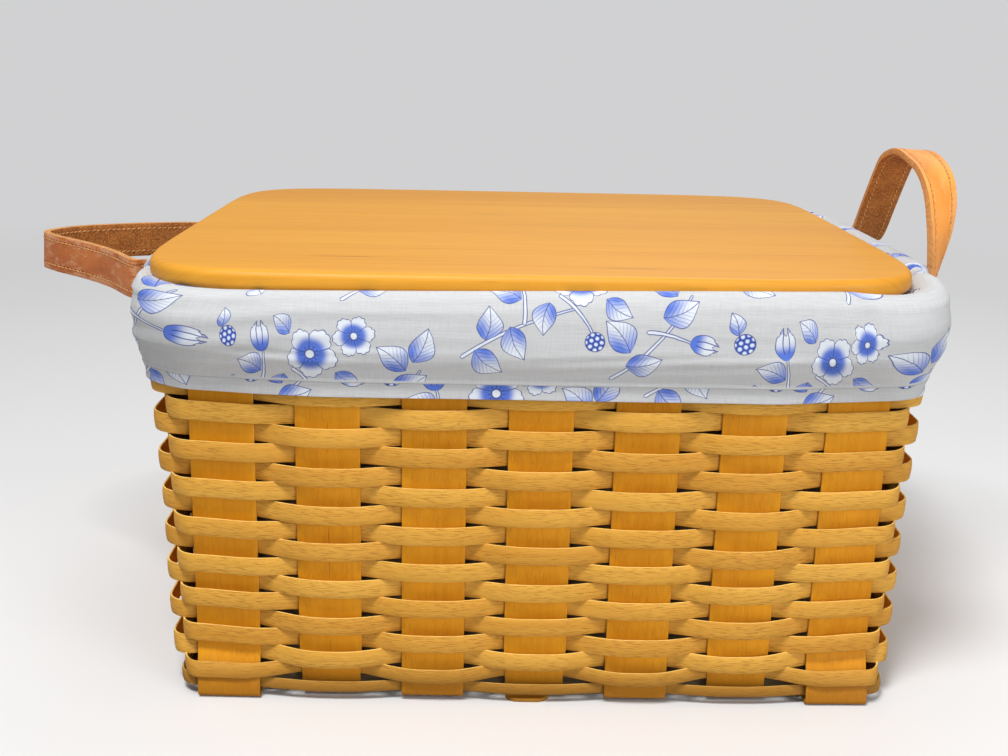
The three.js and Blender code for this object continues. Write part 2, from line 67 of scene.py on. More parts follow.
camera = new_object("camera", bpy.data.cameras.new("camera"))
camera.data.sensor_width = 36.0
camera.data.lens = 49.99
camera.data.clip_end = 30.0
camera.matrix_world = (
    Matrix.Translation(CAMERA_PLACE)
    @ Matrix.Rotation(math.radians(CAMERA_TURN), 4, "Z")
    @ Matrix.Rotation(math.radians(90.0 - CAMERA_DIP), 4, "X")
    @ Matrix.Rotation(math.radians(CAMERA_ROLL), 4, "Z")
)
bpy.context.scene.camera = camera
bpy.context.scene.view_settings.view_transform = "Standard"


class Signal:
    """A socket of a material. Sums written with it become Math nodes."""

    def __init__(self, tree, socket=None):
        self.tree = tree
        self.socket = socket

    def node(self, kind, settings=None, sockets=None, output=0):
        made = self.tree.nodes.new("ShaderNode" + kind)
        for name, value in (settings or {}).items():
            setattr(made, name, value)
        for name, value in (sockets or {}).items():
            if isinstance(value, Signal):
                self.tree.links.new(value.socket, made.inputs[name])
            else:
                made.inputs[name].default_value = value
        return Signal(self.tree, made.outputs[output])

    def maths(self, operation, *values):
        return self.node("Math", {"operation": operation}, dict(enumerate(values)))

    def __add__(self, other):
        return self.maths("ADD", self, other)

    def __radd__(self, other):
        return self.maths("ADD", other, self)

    def __sub__(self, other):
        return self.maths("SUBTRACT", self, other)

    def __rsub__(self, other):
        return self.maths("SUBTRACT", other, self)

    def __mul__(self, other):
        return self.maths("MULTIPLY", self, other)

    def __rmul__(self, other):
        return self.maths("MULTIPLY", other, self)

    def __truediv__(self, other):
        return self.maths("DIVIDE", self, other)

    def __pow__(self, other):
        return self.maths("POWER", self, other)

    def __abs__(self):
        return self.maths("ABSOLUTE", self)

    def sine(self):
        return self.maths("SINE", self)

    def floor(self):
        return self.maths("FLOOR", self)

    def least(self, other):
        return self.maths("MINIMUM", self, other)

    def most(self, other):
        return self.maths("MAXIMUM", self, other)

    def ramp(self, low, high):
        """0 below low and 1 above high, or the other way round, with a smooth rise between."""
        sockets = {"Value": self, "From Min": low, "From Max": high}
        return self.node("MapRange", {"interpolation_type": "SMOOTHSTEP"}, sockets)

    def parts(self):
        return [self.node("SeparateXYZ", sockets={0: self}, output=axis) for axis in range(3)]

    def place(self, by):
        """The parts of a point's place, by "Object" from the basket's middle, or by "UV" along the surface."""
        return self.node("TexCoord", output=by).parts()

    def point(self, x, y, z=0.0):
        return self.node("CombineXYZ", sockets={0: x, 1: y, 2: z})

    def noise(self, x, y, z=0.0, detail=3.0, roughness=0.5):
        sockets = {"Vector": self.point(x, y, z), "Scale": 1.0, "Detail": detail, "Roughness": roughness}
        return self.node("TexNoise", sockets=sockets)

    def mix(self, none, full):
        """The colour none where this signal is 0 and full where it is 1."""
        return self.node("Mix", {"data_type": "RGBA"}, {0: self, 6: none, 7: full}, output=2)


def colour(red, green, blue):
    """A colour given from 0 to 255 as it looks on a screen."""
    linear = [((c / 255.0 + 0.055) / 1.055) ** 2.4 if c > 10 else c / 3294.6 for c in (red, green, blue)]
    return (*linear, 1.0)


def new_finish(name):
    """A material, with a signal to start its nodes from."""
    material = bpy.data.materials.new(name)
    material.use_nodes = True
    material.node_tree.nodes.clear()
    return material, Signal(material.node_tree)


def end_tree(start, kind, surface):
    output = start.tree.nodes.new("ShaderNode" + kind)
    start.tree.links.new(surface.socket, output.inputs["Surface"])


def close_finish(start, base, roughness, height, depth, **shader):
    """Joins the signals of a finish to its shader. The height is a bump, depth metres high."""
    bump = start.node("Bump", sockets={"Distance": depth, "Height": height, "Strength": 1.0})
    sockets = {"Base Color": base, "Roughness": roughness, "Normal": bump, **shader}
    end_tree(start, "OutputMaterial", start.node("BsdfPrincipled", sockets=sockets))


def finish_mesh(name, bm, materials, body=None, smooth=True):
    """Makes a finished bmesh an object, which may move with a body."""
    mesh = bpy.data.meshes.new(name)
    bm.to_mesh(mesh)
    bm.free()
    for face in mesh.polygons:
        face.use_smooth = smooth
    for material in materials:
        mesh.materials.append(material)
    piece = new_object(name, mesh)
    if body:
        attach(piece, body)
    return piece


def studio_floor():
    """A pale floor. It looks darker to the basket than to the camera, so that it throws less light back."""
    material, start = new_finish("pale floor")
    x, y = start.place("Object")[:2]
    cloud = start.noise(x * 1.5, y * 1.5, detail=4.0)
    seen = start.node("LightPath")
    base = seen.mix(FLOOR_BOUNCE, cloud.mix(FLOOR_TONE, FLOOR_SHADE))
    lit = start.node("BsdfPrincipled", sockets={"Base Color": base, "Roughness": 0.9})
    even = start.node("Emission", sockets={"Color": BACKDROP_TONE})
    far = ((x * x + y * y) ** 0.5).ramp(*FLOOR_FADE) * seen
    end_tree(start, "OutputMaterial", start.node("MixShader", sockets={0: far, 1: lit, 2: even}))
    bm = bmesh.new()
    bmesh.ops.create_grid(bm, x_segments=8, y_segments=8, size=12.0)
    floor = finish_mesh("floor", bm, [material], smooth=False)


def soft_lamp(name, place, size, power):
    lamp = bpy.data.lights.new(name, "AREA")
    lamp.shape = "DISK"
    lamp.size = size
    lamp.energy = power
    turned = (LAMP_AIM - Vector(place)).to_track_quat("-Z", "Y").to_matrix().to_4x4()
    new_object(name, lamp).matrix_world = Matrix.Translation(place) @ turned


def studio_sky():
    """Even light from all round, of which the camera sees a paler backdrop."""
    world = bpy.data.worlds.new("studio")
    bpy.context.scene.world = world
    world.use_nodes = True
    world.node_tree.nodes.clear()
    start = Signal(world.node_tree)
    tone = start.node("LightPath").mix(SKY_TONE, BACKDROP_TONE)
    end_tree(start, "OutputWorld", start.node("Background", sockets={"Color": tone, "Strength": 1.0}))


studio_floor()
studio_sky()
soft_lamp("key lamp", (-0.45, -1.25, 2.3), 0.8, 54.0)
soft_lamp("fill lamp", (1.5, -1.9, 0.75), 1.4, 22.0)
soft_lamp("back lamp", (0.4, 1.8, 2.2), 1.4, 16.0)


# The uprights are maple splints, 38 mm wide and 1.3 mm thick. Each runs up one wall, under the base and up the
# opposite wall, and they cross over and under each other in the base. They stain darker than the weavers.
SPLINTS = 7  # each way
START_BOTTOM = 0.006  # of the start hoop
SPLINT_WIDTH = 0.0381
SPLINT_THICKNESS = 0.0013
FRONT_PITCH = 0.0627
END_PITCH = 0.0608
LOWER_SPLINT = 0.00345
UPPER_SPLINT = 0.00505
CROSSING_SLACK = 0.0015
CORNER_X = 0.20715
CORNER_Y = 0.20145
END_MARGIN = 0.0083
FRONT_MARGIN = 0.0134
LEAN = 0.047
RIM_TOP = 0.2547
TOP_INSET = 0.0015
WALL_STEPS = 32
FOOT_BEND = 0.0026
BEND_STEPS = 6
FOOT_SHIFT = 0.0024
OUTER_FOOT_SHIFT = 0.0036
INWARD_FOOT_SHIFT = -0.0016
FOOT_SAG = 0.0022
FOOT_NARROWING = 0.0022
FOOT_TOP = 0.028
FOOT_FADE = 0.018
END_DRAW = 0.07
DRAW_START = 0.55
DRAW_RISE = 0.5
LEFT_BULGE = -0.0034
RIGHT_BULGE = 0.0014
BOW_AT_FOOT = 0.10
BOW_RISE = 0.04
BOW_TOP = 0.196
BOW_FADE = 0.045
# Painted shade darkens the wood's colour between these heights, towards the floor.
PAINTED_SHADE_HEIGHTS = (0.034, 0.006)  # the heights between which the wood darkens
GRAIN_SHIFT = 47.0
EDGE_ANGLE = 40.0


def half_length(height):
    return CORNER_X + END_MARGIN + LEAN * height


def half_depth(height):
    return CORNER_Y + FRONT_MARGIN + LEAN * height


def eased(share):
    share = min(max(share, 0.0), 1.0)
    return share * share * (3 - 2 * share)


def bowed(point):
    """The front and back walls draw in towards their ends, and the side walls stand out a little. Both are
    less at the foot, and end below the rim."""
    share = min(abs(point.x) / half_length(point.z), 1.0)
    growth = BOW_AT_FOOT + (1.0 - BOW_AT_FOOT) * eased(point.z / BOW_RISE)
    growth -= eased((point.z - BOW_TOP) / BOW_FADE)
    drawn_in = END_DRAW * growth * eased((share - DRAW_START) / DRAW_RISE)
    stood_out = (LEFT_BULGE if point.x < 0 else RIGHT_BULGE) * growth * share ** 8
    return Vector((point.x + stood_out, point.y * (1.0 - drawn_in), point.z))


def darker(tone, *shares):
    return (*(part * share for part, share in zip(tone, shares)), 1.0)


def wood(name, pale, dark, streaks=0.3, dashes=0.35, crack=None, tone=0.0):
    """Split wood whose UV map is in metres, along the grain and across it. Near the floor its colour darkens with
    painted shade.
    """
    material, start = new_finish(name)
    along, across = start.place("UV")[:2]
    fibre = start.noise(along * 60.0, across * 2600.0, 1.0 + tone, detail=4.0, roughness=0.62)
    streak = start.noise(along * 8.0, across * 300.0, 5.0 + tone, detail=3.0)
    cloud = start.noise(along * 7.0, across * 22.0, 9.0 + tone, detail=3.0)
    dash = start.noise(along * 150.0 + across * 500.0, across * 1500.0, 3.0 + tone, detail=2.0)
    dash = dash.ramp(0.50, 0.66) * start.noise(along * 9.0, across * 60.0, 6.0 + tone).ramp(0.25, 0.55)
    shade = fibre.ramp(0.3, 0.7) * 0.22 + streak.ramp(0.3, 0.7) * streaks + cloud.ramp(0.3, 0.7) * 0.36
    base = shade.least(1.0).mix(pale, dark)
    base = (dash * dashes).mix(base, darker(dark, 0.62, 0.55, 0.5))
    # Painted shade: the colour darkens towards the floor, where less light reaches the wood.
    painted_shade = start.place("Object")[2].ramp(*PAINTED_SHADE_HEIGHTS)
    base = (painted_shade * 0.75).mix(base, darker(dark, 0.42, 0.40, 0.36))
    relief = fibre * 0.4 + streak * 0.4 - dash * 0.7
    if crack is not None:
        wander = start.noise(along * 30.0, 2.0, detail=2.0) * 0.0012
        line = abs(across - crack + wander - 0.0006).ramp(0.00045, 0.0001)
        line = line * start.noise(along * 25.0, 7.0, detail=1.0).ramp(0.45, 0.6)
        base = (line * 0.45).mix(base, colour(150, 88, 22))
        relief = relief - line * 1.5
    close_finish(start, base, 0.56 + fibre * 0.14, relief, 0.00018, **{"Specular IOR Level": 0.3})
    return material


def bent_sheet(steps, rows, place, closed=False):
    """A grid whose point at step and row lies where place says, which also gives its UV in metres."""
    bm = bmesh.new()
    layer = bm.loops.layers.uv.new("along and across")
    bmesh.ops.create_grid(bm, x_segments=steps, y_segments=rows, size=0.5)
    spots = {}
    for vertex in bm.verts:
        step = round((vertex.co.x + 0.5) * steps)
        row = round((vertex.co.y + 0.5) * rows)
        spot, run, rise = place(step, row)
        vertex.co = spot
        spots[vertex] = (run, rise)
    for face in bm.faces:
        for loop in face.loops:
            loop[layer].uv = spots[loop.vert]
    if closed:
        bmesh.ops.remove_doubles(bm, verts=bm.verts, dist=0.00002)
    return bm


def round_edges(bm, edges, reach, segments):
    bmesh.ops.bevel(bm, geom=edges, affect="EDGES", offset=reach, segments=segments, profile=0.5, material=-1)


def thicken(piece, thickness, edge_slot=None, back_slot=None, rounding=0.0003, even=True):
    """Gives a bent sheet its thickness and rounds its edges a little."""
    solid = piece.modifiers.new("thickness", "SOLIDIFY")
    solid.thickness = thickness
    solid.offset = 0.0
    solid.use_even_offset = even
    if edge_slot is not None:
        solid.material_offset_rim = edge_slot
    if back_slot is not None:
        solid.material_offset = back_slot
    bevel = piece.modifiers.new("rounded edges", "BEVEL")
    bevel.width = rounding
    bevel.segments = 2
    bevel.limit_method = "ANGLE"
    bevel.angle_limit = math.radians(EDGE_ANGLE)


def at_foot(height):
    """1 at the foot of a wall, falling to 0 above the lowest row."""
    return eased((FOOT_TOP - height) / FOOT_FADE)


def splint_line(half, pitch, starts_low, foot_shift, sag):
    """The middle line of a splint in its own plane, from one top end to the other, with rounded bends. Its foot
    is shifted outwards where the start hoop passes inside it, and inwards where it passes outside, and it may
    sag below the base."""
    flat = SPLINT_WIDTH / 2 + CROSSING_SLACK
    base = []
    for crossing in range(SPLINTS):
        low = starts_low == (crossing % 2 == 0)
        height = LOWER_SPLINT if low else UPPER_SPLINT
        middle = (crossing - SPLINTS // 2) * pitch
        base += [Vector((middle - flat, height)), Vector((middle + flat, height))]
    foot = base[0].y - sag
    top = RIM_TOP - TOP_INSET
    rise = []
    for count in range(WALL_STEPS + 1):
        height = top + (foot + FOOT_BEND - top) * count / WALL_STEPS
        rise.append(Vector((half(height) + foot_shift * at_foot(height), height)))
    inner = half(foot) + foot_shift - FOOT_BEND
    for count in range(1, BEND_STEPS + 1):
        turn = math.radians(90.0 * count / BEND_STEPS)
        rise.append(Vector((inner + FOOT_BEND * math.cos(turn), foot + FOOT_BEND - FOOT_BEND * math.sin(turn))))
    left = [Vector((-spot.x, spot.y)) for spot in rise]
    return left + base + rise[::-1]


def distances(line):
    """How far along a line each of its points is."""
    runs = [0.0]
    for before, after in zip(line, line[1:]):
        runs.append(runs[-1] + (after - before).length)
    return runs


def add_splint(name, along_y, place, face, edge):
    half = half_depth if along_y else half_length
    pitch, side_pitch = (END_PITCH, FRONT_PITCH) if along_y else (FRONT_PITCH, END_PITCH)
    starts_low = (place % 2 == 0) == along_y
    outer_foot = along_y and place in (0, SPLINTS - 1)
    foot_shift = (OUTER_FOOT_SHIFT if outer_foot else FOOT_SHIFT) if starts_low else INWARD_FOOT_SHIFT
    line = splint_line(half, pitch, starts_low, foot_shift, FOOT_SAG if outer_foot else 0.0)
    runs = distances(line)
    middle = (place - SPLINTS // 2) * side_pitch
    own_grain = middle * GRAIN_SHIFT + (0.0 if along_y else 40.0)

    def spot(step, row):
        run, height = line[step]
        narrowed = 0.0 if starts_low else FOOT_NARROWING * at_foot(height - START_BOTTOM)
        across = (row / 4 - 0.5) * (SPLINT_WIDTH - narrowed)
        point = (middle + across, run, height) if along_y else (run, middle + across, height)
        return bowed(Vector(point)), runs[step] + own_grain, across

    bm = bent_sheet(len(line) - 1, 4, spot)
    piece = finish_mesh(name + "_wood", bm, [face, edge], "basket")
    thicken(piece, SPLINT_THICKNESS, edge_slot=1)
    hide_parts(name)


def add_splints():
    edge = wood("splint edge", colour(246, 190, 76), colour(226, 154, 46))
    stain = {"pale": colour(240, 167, 26), "dark": colour(224, 144, 12), "streaks": 0.34, "dashes": 0.12}
    plain = wood("splint maple", **stain)
    cracked = wood("cracked splint maple", crack=0.0, **stain)
    for place in range(SPLINTS):
        add_splint(f"crosswise_splint_{place + 1}", True, place, cracked if place == 1 else plain, edge)
        add_splint(f"lengthwise_splint_{place + 1}", False, place, plain, edge)


add_splints()


# The weavers are maple strips 1.2 mm thick. Each is bent round the basket as a hoop that passes outside every
# other upright, and the next row takes the others, so the rows bulge by turns.
START_WIDTH = 0.0068
START_BOWS = (-0.0009, 0.0034)
ROWS = 18
FIRST_ROW = 0.0114
ROW_PITCH = 0.01148
ROW_GROWTH = 0.000059
ROW_GAP = 0.0004
WEAVER_THICKNESS = 0.0012
OUTWARD_BOW = 0.0064
ROW_BOWS = (-0.0034, OUTWARD_BOW)
CROWN = 0.0005
FIRST_NARROWING = 0.0023
LIFTS = {0: 0.0030, 1: 0.0010}  # of the lowest rows, where they run inside
HOOP_STEPS = 84
HOOP_CORNER_STEPS = 12
HOOP_CORNER = 0.027
WAIT = 0.1
CORNER_WAIT = 0.27


def row_bottom(row):
    return FIRST_ROW + row * (ROW_PITCH + ROW_GROWTH * row / 2)


def side_reach(side):
    """Half a wall's length between its corners. The sides are the front, right, back and left, from 0."""
    return CORNER_X if side % 2 == 0 else CORNER_Y


def place_on_wall(side, along, turn, out, height, rounding=0.0):
    """A point of the wall on a side, or in the corner after it at a turn, out from the wall's middle."""
    walls = (half_depth(height) + out, half_length(height) + out)
    wall = walls[side % 2]
    if turn is not None:
        reach, next_reach = side_reach(side) - rounding, side_reach(side + 1) - rounding
        along = reach + (walls[(side + 1) % 2] - reach) * math.sin(turn)
        wall = next_reach + (wall - next_reach) * math.cos(turn)
    spin = side * math.pi / 2
    x = along * math.cos(spin) + wall * math.sin(spin)
    y = along * math.sin(spin) - wall * math.cos(spin)
    return bowed(Vector((x, y, height)))


def way_round(sides, steps, corner_steps, corner):
    """Places round the walls, from the corner before the first side. Each has its side, how far along the side
    or round the corner after it, and the distance run, which counts a corner as a given length."""
    stations = []
    run = 0.0
    for side in sides:
        reach = side_reach(side)
        for step in range(steps):
            shift = 2 * reach * step / steps
            stations.append((side, shift - reach, None, run + shift))
        run += 2 * reach
        for step in range(corner_steps):
            turn = math.pi / 2 * step / corner_steps
            stations.append((side, None, turn, run + corner * step / corner_steps))
        run += corner
    return stations, run


def weave_knots(outside_first, stations, total):
    """The uprights that a hoop passes. A knot holds the run, 1 outside or 0 inside the upright, and the share
    of the way on before the hoop crosses over."""
    knots = []
    for side, _, _, run in stations[::HOOP_STEPS + HOOP_CORNER_STEPS]:
        pitch = FRONT_PITCH if side % 2 == 0 else END_PITCH
        starts_outside = outside_first == (side % 2 == 0)
        for place in range(SPLINTS):
            outside = starts_outside == (place % 2 == 0)
            middle = run + side_reach(side) + (place - SPLINTS // 2) * pitch
            knots.append((middle, 1.0 if outside else 0.0, CORNER_WAIT if place == SPLINTS - 1 else WAIT))
    knots.append((total + knots[0][0], *knots[0][1:]))
    knots.insert(0, (knots[-2][0] - total, *knots[-2][1:]))
    return knots


def bow_at(run, knots):
    """0 inside an upright and 1 outside it, with a smooth crossing between."""
    for (start, first, wait), (end, last, _) in zip(knots, knots[1:]):
        if start <= run <= end:
            share = (run - start) / (end - start)
            share = min(max((share - wait) / (1.0 - 2 * wait), 0.0), 1.0)
            return first + (last - first) * (0.5 - 0.5 * math.cos(math.pi * share))
    return knots[0][1]


def add_hoop(name, number, outside_first, bottom, width, bows, finishes, lift=0.0):
    """A hoop between its bows inside and outside the uprights, lifted a little where it runs inside."""
    stations, total = way_round((2, 3, 0, 1), HOOP_STEPS, HOOP_CORNER_STEPS, HOOP_CORNER)
    knots = weave_knots(outside_first, stations, total)
    inside, outside = bows

    def spot(step, row):
        side, along, turn, run = stations[step % len(stations)]
        rise = row / 3
        wave = math.sin(run * 9.0 + number * 2.3) * 0.0004 + math.sin(run * 23.0 + number * 5.1) * 0.00025
        bow = bow_at(run, knots)
        out = inside + (outside * (1.0 + 0.10 * math.sin(run * 14.0 + number * 3.7)) - inside) * bow
        out += CROWN * math.sin(math.pi * rise)
        height = bottom + wave * min(bottom / 0.03, 1.0) + width * rise + lift * (1.0 - bow)
        shown = run + (total if step == len(stations) else 0.0)
        return place_on_wall(side, along, turn, out, height), shown + number * 5.3, width * (rise - 0.5)

    bm = bent_sheet(len(stations), 3, spot, closed=True)
    piece = finish_mesh(name + "_wood", bm, finishes, "basket")
    thicken(piece, WEAVER_THICKNESS, edge_slot=1)
    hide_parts(name)


def add_hoops():
    # The weavers' edges are painted paler than their faces: a painted highlight where light from above catches
    # them.
    edge = wood("weaver edge painted highlight", colour(255, 220, 128), colour(246, 196, 96))
    tones = (((227, 170, 70), (204, 141, 40)), ((222, 164, 65), (198, 134, 37)), ((231, 176, 76), (208, 147, 44)))
    faces = []
    for tone, (pale, dark) in enumerate(tones):
        faces.append(wood(f"weaver maple {tone + 1}", colour(*pale), colour(*dark), dashes=0.55, tone=tone * 7.0))
    add_hoop("start_hoop", 0, False, START_BOTTOM, START_WIDTH, START_BOWS, [faces[0], edge])
    for row in range(ROWS):
        narrowed = FIRST_NARROWING if row == 0 else 0.0
        bottom = row_bottom(row) + narrowed
        width = row_bottom(row + 1) - bottom - ROW_GAP + narrowed * 0.15
        name, outside_first = f"weaver_row_{row + 1:02d}", row % 2 == 0
        finishes = [faces[(row * 5 + row // 3) % 3], edge]
        add_hoop(name, row + 1, outside_first, bottom, width, ROW_BOWS, finishes, LIFTS.get(row, 0.0))


add_hoops()


# Three flat maple runners are tacked under the base from front to back, and keep it off the floor. The middle
# one's rounded ends stand out a little past the walls. The outer ones end behind the feet of the uprights.
RUNNER_WIDTH = 0.027
RUNNER_THICKNESS = 0.0025
RUNNER_ROUNDING = 0.008
RUNNER_BEVEL = 0.0006
RUNNER_OVERHANG = 0.003
RUNNER_SETBACK = 0.0108
RUNNERS = (  # each with the place of its middle, and how far it passes the walls
    ("left", -0.183, -RUNNER_SETBACK),
    ("middle", -0.004, RUNNER_OVERHANG),
    ("right", 0.183, -RUNNER_SETBACK),
)
LEVEL = 0.0001


def level_edges(bm):
    return [edge for edge in bm.edges if abs(edge.verts[0].co.z - edge.verts[1].co.z) < LEVEL]


def add_runners():
    face = wood("runner maple", colour(236, 180, 66), colour(206, 140, 34))
    for count, (name, middle, overhang) in enumerate(RUNNERS):
        bm = bmesh.new()
        layer = bm.loops.layers.uv.new("along and across")
        bmesh.ops.create_cube(bm, size=1.0)
        size = (RUNNER_WIDTH, 2 * (half_depth(0.0) + overhang), RUNNER_THICKNESS)
        bmesh.ops.scale(bm, vec=size, verts=bm.verts)
        bmesh.ops.translate(bm, vec=(middle, 0.0, RUNNER_THICKNESS / 2), verts=bm.verts)
        level = set(level_edges(bm))
        upright = [edge for edge in bm.edges if edge not in level]
        round_edges(bm, upright, RUNNER_ROUNDING, 8)
        rims = [edge for edge in level_edges(bm) if len(edge.link_faces) == 2 and edge.calc_face_angle(0.0) > 1.0]
        round_edges(bm, rims, RUNNER_BEVEL, 2)
        for side in bm.faces:
            for loop in side.loops:
                loop[layer].uv = (loop.vert.co.y + count * 2.0, loop.vert.co.x - middle + loop.vert.co.z)
        piece = finish_mesh(f"runner_{name}_wood", bm, [face], "basket", smooth=False)
        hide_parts(f"runner_{name}")


add_runners()


# Two flat maple bands hold the tops of the uprights between them. The liner hides them, and the brass
# rivets of the handles go through both.
def dress(names, material):
    """Gives a finish to pieces that keep their first shape."""
    for name in names:
        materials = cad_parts[name].data.materials
        materials.clear()
        materials.append(material)


def rim_finish():
    material, start = new_finish("rim band maple")
    x, y, z = start.place("Object")
    fibre = start.noise((x + y) * 30.0, z * 900.0, detail=4.0)
    streak = start.noise((x + y) * 5.0, z * 90.0, detail=2.0)
    base = (fibre * 0.5 + streak * 0.5).ramp(0.35, 0.65).mix(colour(228, 176, 62), colour(196, 134, 30))
    close_finish(start, base, 0.6, fibre, 0.0002)
    return material


dress(("outer_rim_band", "inner_rim_band"), rim_finish())


# The liner is a printed cotton bag. It lines the basket, folds over the rim and hangs outside as a skirt, which
# an elastic hem pulls in over the weave. The straps come out through slits in its sides.
CLOTH = 0.0009
CLOTH_FLOOR = 0.0068
FLOOR_HALF = 0.21
FLOOR_STEPS = 8
LINER_STEPS = 80
LINER_CORNER_STEPS = 14
LINER_CORNER = 0.05
LINING_ROUNDING = 0.034
CREST_HEIGHTS = (0.2590, 0.2640, 0.2640, 0.2605)  # of the fold, at the corners from the front left
CREST_OFFSETS = (0.0085, 0.0105, 0.0090, 0.0150)  # of the fold from the wall's middle, by side
CORNER_DIP = 0.003
BAND_TOP = 0.240
BAND_BOTTOM = 0.2276
BAND_ROUNDING = 0.018
LYING_OFFSET = -0.0008  # of the cloth where it lies on the rim
LYING_HEIGHT = RIM_TOP + 0.0009
LIFT_START = 0.0095  # how far inside its crest the fold leaves the rim
SKIRT_OUTSIDE = 0.0179
SKIRT_LENGTH = 0.030
HEM_OUTSIDE = OUTWARD_BOW + 0.0006 + 0.0021
HEM_WIDTH = 0.0105
HANDLE_BULGE = 0.011
BULGE_REACH = 0.1087
PRINT_DROP = 0.092
PRINTS_ROUND = 12
LINE_WIDTH = 0.00045
# The grey of the thread, used too for the painted shadow line below the hem's seam.
THREAD_AND_SHADOW_TONE = colour(120, 118, 112)


class Motif:
    """A place in the print's own directions, in metres: x along a motif from its root and y across it. Past
    its length x stays at the end, and beyond says how far past it the place is."""

    def __init__(self, x, y, place, degrees, length=None):
        turn = math.radians(degrees)
        across, up = x - place[0], y - place[1]
        self.x = across * math.cos(turn) + up * math.sin(turn)
        self.y = up * math.cos(turn) - across * math.sin(turn)
        if length is not None:
            whole = self.x
            self.x = whole.most(0.0).least(length)
            self.beyond = abs(whole - self.x)
            self.share = self.x / length


def drawn(inside, wash, lines):
    """The cover, wash and lines of a motif from how far inside its outline a place is."""
    cover = inside.ramp(0.0, 0.0002)
    outline = abs(inside).ramp(LINE_WIDTH, LINE_WIDTH * 0.3)
    return cover, wash, outline.most(lines * cover)


def leaf(x, y, place, degrees, length, width):
    """A pointed leaf, dark at its root, with a middle vein and slanting side veins."""
    spot = Motif(x, y, place, degrees, length)
    share = spot.share
    bent = spot.y + share * (1.0 - share) * (width * 0.55)
    side = abs(bent)
    inside = share * (1.0 - share) * (1.4 - share * 0.8) * (width * 2.0) - side - spot.beyond
    veins = ((spot.x - side * 1.2) * (2 * math.pi / 0.0031)).sine().ramp(0.62, 0.97) * share.ramp(0.95, 0.4)
    middle = side.ramp(0.0004, 0.0001)
    wash = share.ramp(0.9, 0.0) * 0.7 + bent.ramp(0.0, 0.005) * 0.3
    return drawn(inside, wash, middle.most(veins * 0.6))


def blossom(x, y, place, radius, petals, turn):
    """An open flower with notched petals round a ring of stamens."""
    spot = Motif(x, y, place, turn)
    reach = (spot.x * spot.x + spot.y * spot.y) ** 0.5
    angle = spot.y.maths("ARCTAN2", spot.y, spot.x)
    wave = abs((angle * (petals / 2)).sine())
    notch = abs((angle * petals * 2.0 + 0.5).sine())
    inside = (wave * 0.25 + notch * 0.06 + 0.68) * radius - reach
    share = reach / radius
    between = wave.ramp(0.12, 0.04) * share.ramp(0.25, 0.35)
    rays = (angle * petals * 7.0).sine().ramp(0.3, 0.9) * share.ramp(0.68, 0.3) * share.ramp(0.24, 0.34)
    ring = abs(share - 0.18).ramp(0.05, 0.02)
    dots = (angle * 11.0).sine().ramp(0.0, 0.8) * abs(share - 0.27).ramp(0.05, 0.02)
    wash = share.ramp(0.85, 0.3) * share.ramp(0.08, 0.26)
    return drawn(inside, wash, between.most(rays * 0.7).most(ring).most(dots))


def bud(x, y, place, degrees, length):
    """A closed flower of folded petals in a dark cup."""
    spot = Motif(x, y, place, degrees, length)
    share = spot.share
    crown = abs((spot.y * (3.5 * math.pi / length)).sine()) * 0.12
    inside = ((share * (1.12 - share)).most(0.0)) ** 0.5 * (length * 0.74) - abs(spot.y) - spot.beyond
    inside = inside.least((1.0 + crown - 0.1 - share) * length)
    folds = abs(abs(spot.y) - share * (1.25 - share) * (length * 0.36)).ramp(0.0005, 0.0002) * share.ramp(0.2, 0.3)
    return drawn(inside, share.ramp(0.85, 0.1), folds)


def berry(x, y, place, radius):
    """A cluster of small round fruits, each with its own outline."""
    spot = Motif(x, y, place, 20.0)
    size = radius * 0.62
    row = (spot.y / (size * 0.86)).floor()
    shifted = spot.x / size + row * 0.5
    across = (shifted - shifted.floor() - 0.5) * size
    up = spot.y - (row + 0.5) * (size * 0.86)
    inside = (radius * radius - spot.x * spot.x - spot.y * spot.y) / (radius * 2)
    cell = size * 0.5 - (across * across + up * up) ** 0.5
    return drawn(inside, cell.ramp(size * 0.42, 0.0), cell.ramp(0.0006, 0.0001))


def twig(x, y, place, degrees, length, bend):
    """A bent twig, thicker at its root."""
    spot = Motif(x, y, place, degrees, length)
    side = abs(spot.y - spot.share * (1.0 - spot.share) * bend) + spot.beyond
    return drawn((0.0011 - spot.share * 0.0005) - side, spot.share * 0.3, spot.share * 0.0)


# From the back to the front: each shape with its place, and with the rest that its function takes.
PRINT = (
    (twig, (-0.069, -0.030), 24.0, 0.070, 0.014),
    (twig, (-0.034, -0.010), 96.0, 0.030, -0.006),
    (twig, (0.016, -0.043), 48.0, 0.066, -0.014),
    (twig, (0.036, -0.014), -14.0, 0.026, 0.006),
    (twig, (-0.014, 0.006), -50.0, 0.030, 0.008),
    (leaf, (-0.062, -0.026), -40.0, 0.021, 0.015),
    (leaf, (-0.056, -0.020), 84.0, 0.020, 0.014),
    (leaf, (-0.042, -0.012), -66.0, 0.021, 0.014),
    (leaf, (-0.036, 0.004), 158.0, 0.020, 0.014),
    (leaf, (-0.020, 0.002), -100.0, 0.019, 0.013),
    (leaf, (0.024, -0.034), 12.0, 0.021, 0.014),
    (leaf, (0.026, -0.026), 128.0, 0.023, 0.016),
    (leaf, (0.044, -0.006), 24.0, 0.022, 0.015),
    (leaf, (0.052, 0.006), 138.0, 0.022, 0.015),
    (leaf, (0.056, 0.012), 66.0, 0.022, 0.014),
    (bud, (-0.037, 0.017), 98.0, 0.016),
    (bud, (0.060, -0.019), -14.0, 0.014),
    (blossom, (-0.002, 0.016), 0.0165, 5.0, 18.0),
    (blossom, (0.023, 0.027), 0.0125, 6.0, 40.0),
    (leaf, (-0.016, 0.028), 140.0, 0.017, 0.012),
    (leaf, (0.012, 0.004), -34.0, 0.018, 0.012),
    (berry, (0.006, -0.020), 0.0056),
    (berry, (-0.062, 0.026), 0.0060),
    (leaf, (-0.066, 0.031), 110.0, 0.013, 0.009),
)


